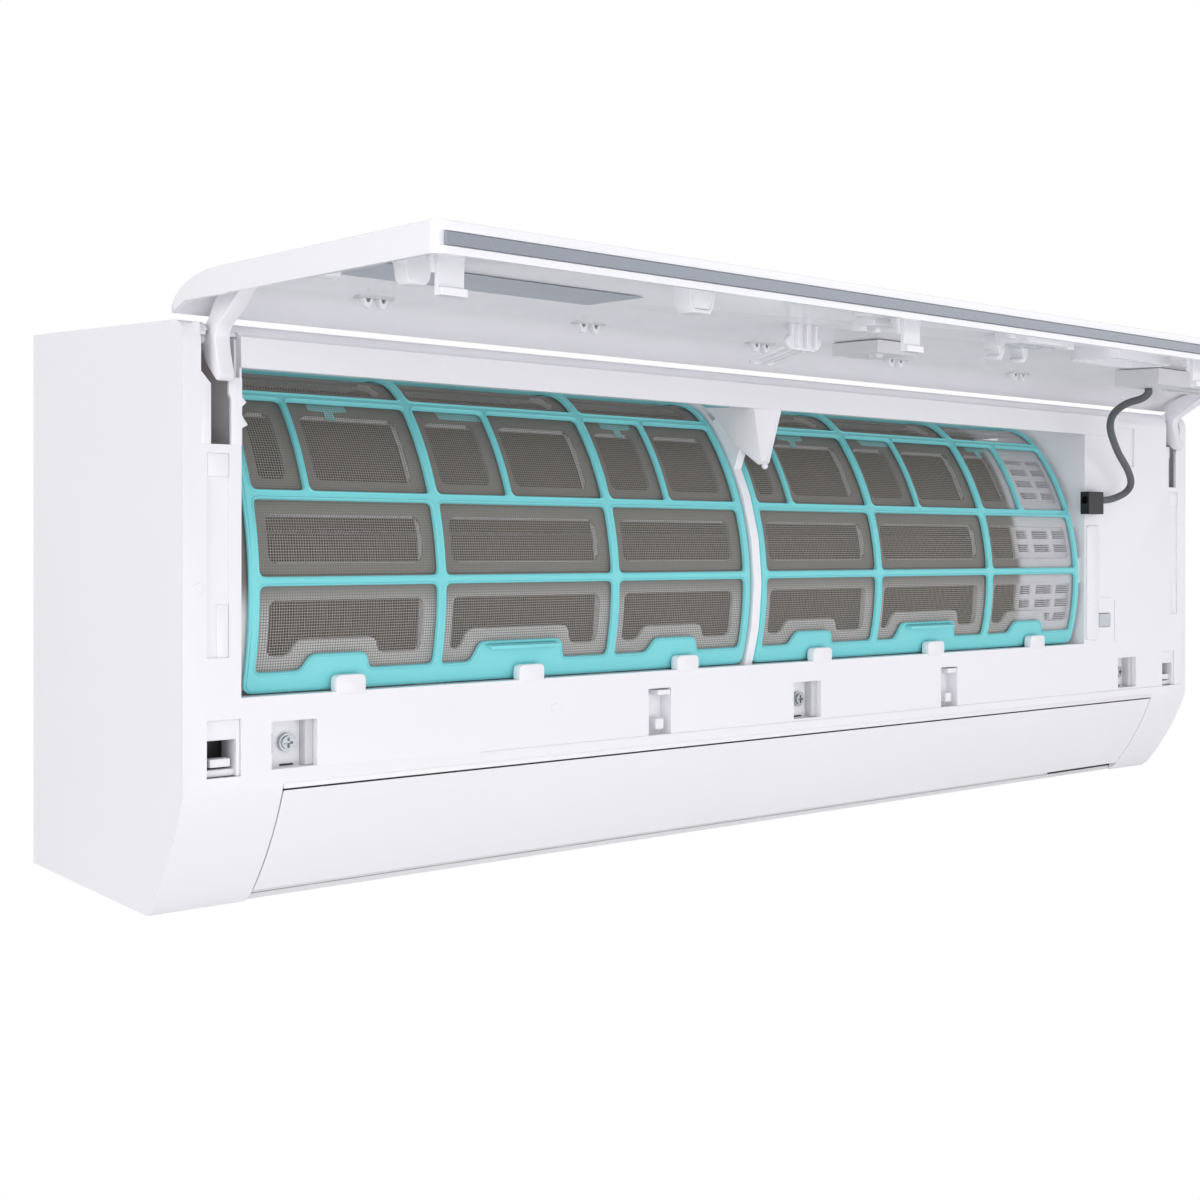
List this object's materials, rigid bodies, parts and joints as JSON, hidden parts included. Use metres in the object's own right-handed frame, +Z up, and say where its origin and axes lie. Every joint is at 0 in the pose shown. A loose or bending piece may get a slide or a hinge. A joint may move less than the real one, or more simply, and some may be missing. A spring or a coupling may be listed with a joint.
{
  "type": "mini split indoor unit",
  "caption": "Wall-hung indoor unit of a split air conditioner, front panel hinged up to show its two curved air filters, coil and louver.",
  "frame": {"origin": "centre of the wall plate's rear face, in the plane of the wall", "axes": "+X to the right seen from the room, +Y into the wall, +Z up; the front looks towards -Y"},
  "size_m": [0.83, 0.371, 0.2893],
  "materials": {
    "galvanised_plate": "zinc coated sheet",
    "chassis_plastic": "matt moulded plastic",
    "black_rubber": "soft moulded rubber",
    "casing_plastic": "satin moulded plastic",
    "fin_aluminium": "thin fins with a golden coating",
    "copper": "drawn copper",
    "brass": "machined brass",
    "dark_plastic": "glass filled plastic",
    "steel": "ground steel",
    "motor_can": "painted can",
    "circuit_board": "printed board",
    "black_plastic": "moulded plastic",
    "grey_plastic": "moulded plastic",
    "panel_plastic": "glossy moulded plastic",
    "grey_trim": "satin grey strip",
    "label_paper": "blank film label",
    "cable_grey": "soft cable jacket",
    "filter_teal": "matt moulded plastic",
    "filter_net": "fine woven net"
  },
  "bodies": {
    "chassis": {"wall_plate": "galvanised_plate", "rear_chassis": "chassis_plastic", "drain_pan": "chassis_plastic", "drain_plug": "black_rubber", "front_casing": "casing_plastic", "coil_guard": "casing_plastic", "coil_front_lower": "fin_aluminium", "coil_front_upper": "fin_aluminium", "coil_rear": "fin_aluminium", "tube_sheet_left": "galvanised_plate", "tube_sheet_right": "galvanised_plate", "coil_tubes": "copper", "gas_pipe": "copper", "liquid_pipe": "copper", "gas_flare_nut": "brass", "liquid_flare_nut": "brass", "fan_bearing": "black_rubber", "fan_motor": "motor_can", "motor_bracket": "chassis_plastic", "control_box": "galvanised_plate", "control_board": "circuit_board", "control_box_cover": "chassis_plastic", "terminal_block": "black_plastic", "casing_screw_left": "steel", "casing_screw_middle": "steel", "casing_screw_right": "steel", "cable_clip": "black_plastic", "louver_motor": "grey_plastic"},
    "fan": {"cross_flow_fan": "dark_plastic", "fan_shaft": "steel"},
    "panel": {"front_panel": "panel_plastic", "panel_trim_strip": "grey_trim", "panel_arm_left": "casing_plastic", "panel_arm_right": "casing_plastic", "display_housing": "grey_plastic", "display_board": "circuit_board", "sensor_box": "grey_plastic", "blank_label": "label_paper", "display_cable": "cable_grey"},
    "filter_left": {"filter_frame_left": "filter_teal", "filter_net_left": "filter_net"},
    "filter_right": {"filter_frame_right": "filter_teal", "filter_net_right": "filter_net"},
    "louver": {"louver": "casing_plastic"},
    "button": {"manual_button": "grey_plastic"},
    "link_left": {"vane_link_left": "grey_plastic"},
    "link_right": {"vane_link_right": "grey_plastic"},
    "vane_1": {"vane_1": "chassis_plastic"},
    "vane_2": {"vane_2": "chassis_plastic"},
    "vane_3": {"vane_3": "chassis_plastic"},
    "vane_4": {"vane_4": "chassis_plastic"},
    "vane_5": {"vane_5": "chassis_plastic"},
    "vane_6": {"vane_6": "chassis_plastic"},
    "vane_7": {"vane_7": "chassis_plastic"},
    "vane_8": {"vane_8": "chassis_plastic"}
  },
  "joints": [
    {"name": "panel_hinge", "type": "hinge", "parent": "chassis", "child": "panel", "pos_m": [0, -0.165, 0.126], "axis": [1, 0, 0], "range_deg": [0, 88.4], "deforming": ["display_cable"]},
    {"name": "filter_left_lift", "type": "hinge", "parent": "chassis", "child": "filter_left", "pos_m": [0, -0.025, 0.0105], "axis": [-1, 0, 0], "range_deg": [0, 4]},
    {"name": "filter_right_lift", "type": "hinge", "parent": "chassis", "child": "filter_right", "pos_m": [0, -0.025, 0.0105], "axis": [-1, 0, 0], "range_deg": [0, 4]},
    {"name": "louver_swing", "type": "hinge", "parent": "chassis", "child": "louver", "pos_m": [0, -0.163, -0.092], "axis": [-1, 0, 0], "range_deg": [0, 70]},
    {"name": "fan_spin", "type": "hinge", "parent": "chassis", "child": "fan", "pos_m": [0, -0.076, -0.02], "axis": [1, 0, 0], "continuous": true},
    {"name": "manual_button_press", "type": "slide", "parent": "chassis", "child": "button", "axis": [0, 1, 0], "range_m": [0, 0.0015], "stiffness_N_per_m": 400, "springref_m": -0.0008},
    {"name": "vane_1_turn", "type": "hinge", "parent": "chassis", "child": "vane_1", "pos_m": [-0.30855, -0.131, -0.1], "axis": [0, 0, 1], "range_deg": [-35, 35]},
    {"name": "vane_5_turn", "type": "hinge", "parent": "chassis", "child": "vane_5", "pos_m": [0.01145, -0.131, -0.1], "axis": [0, 0, 1], "range_deg": [-35, 35]},
    {"name": "vane_2_turn", "type": "hinge", "parent": "chassis", "child": "vane_2", "pos_m": [-0.22855, -0.131, -0.1], "axis": [0, 0, 1], "range_deg": [-35, 35]},
    {"name": "vane_3_turn", "type": "hinge", "parent": "chassis", "child": "vane_3", "pos_m": [-0.14855, -0.131, -0.1], "axis": [0, 0, 1], "range_deg": [-35, 35]},
    {"name": "vane_4_turn", "type": "hinge", "parent": "chassis", "child": "vane_4", "pos_m": [-0.06855, -0.131, -0.1], "axis": [0, 0, 1], "range_deg": [-35, 35]},
    {"name": "vane_6_turn", "type": "hinge", "parent": "chassis", "child": "vane_6", "pos_m": [0.09145, -0.131, -0.1], "axis": [0, 0, 1], "range_deg": [-35, 35]},
    {"name": "vane_7_turn", "type": "hinge", "parent": "chassis", "child": "vane_7", "pos_m": [0.17145, -0.131, -0.1], "axis": [0, 0, 1], "range_deg": [-35, 35]},
    {"name": "vane_8_turn", "type": "hinge", "parent": "chassis", "child": "vane_8", "pos_m": [0.25145, -0.131, -0.1], "axis": [0, 0, 1], "range_deg": [-35, 35]},
    {"name": "vane_link_left_slide", "type": "slide", "parent": "chassis", "child": "link_left", "axis": [1, 0, 0], "range_m": [-0.0093, 0.0093]},
    {"name": "vane_link_right_slide", "type": "slide", "parent": "chassis", "child": "link_right", "axis": [1, 0, 0], "range_m": [-0.0093, 0.0093]}
  ],
  "couplings": [
    {"joint": "vane_2_turn", "follows": "vane_1_turn", "ratio": 1},
    {"joint": "vane_3_turn", "follows": "vane_1_turn", "ratio": 1},
    {"joint": "vane_4_turn", "follows": "vane_1_turn", "ratio": 1},
    {"joint": "vane_6_turn", "follows": "vane_5_turn", "ratio": 1},
    {"joint": "vane_7_turn", "follows": "vane_5_turn", "ratio": 1},
    {"joint": "vane_8_turn", "follows": "vane_5_turn", "ratio": 1},
    {"joint": "vane_link_left_slide", "follows": "vane_1_turn", "m_per_rad": -0.015},
    {"joint": "vane_link_right_slide", "follows": "vane_5_turn", "m_per_rad": -0.015}
  ]
}
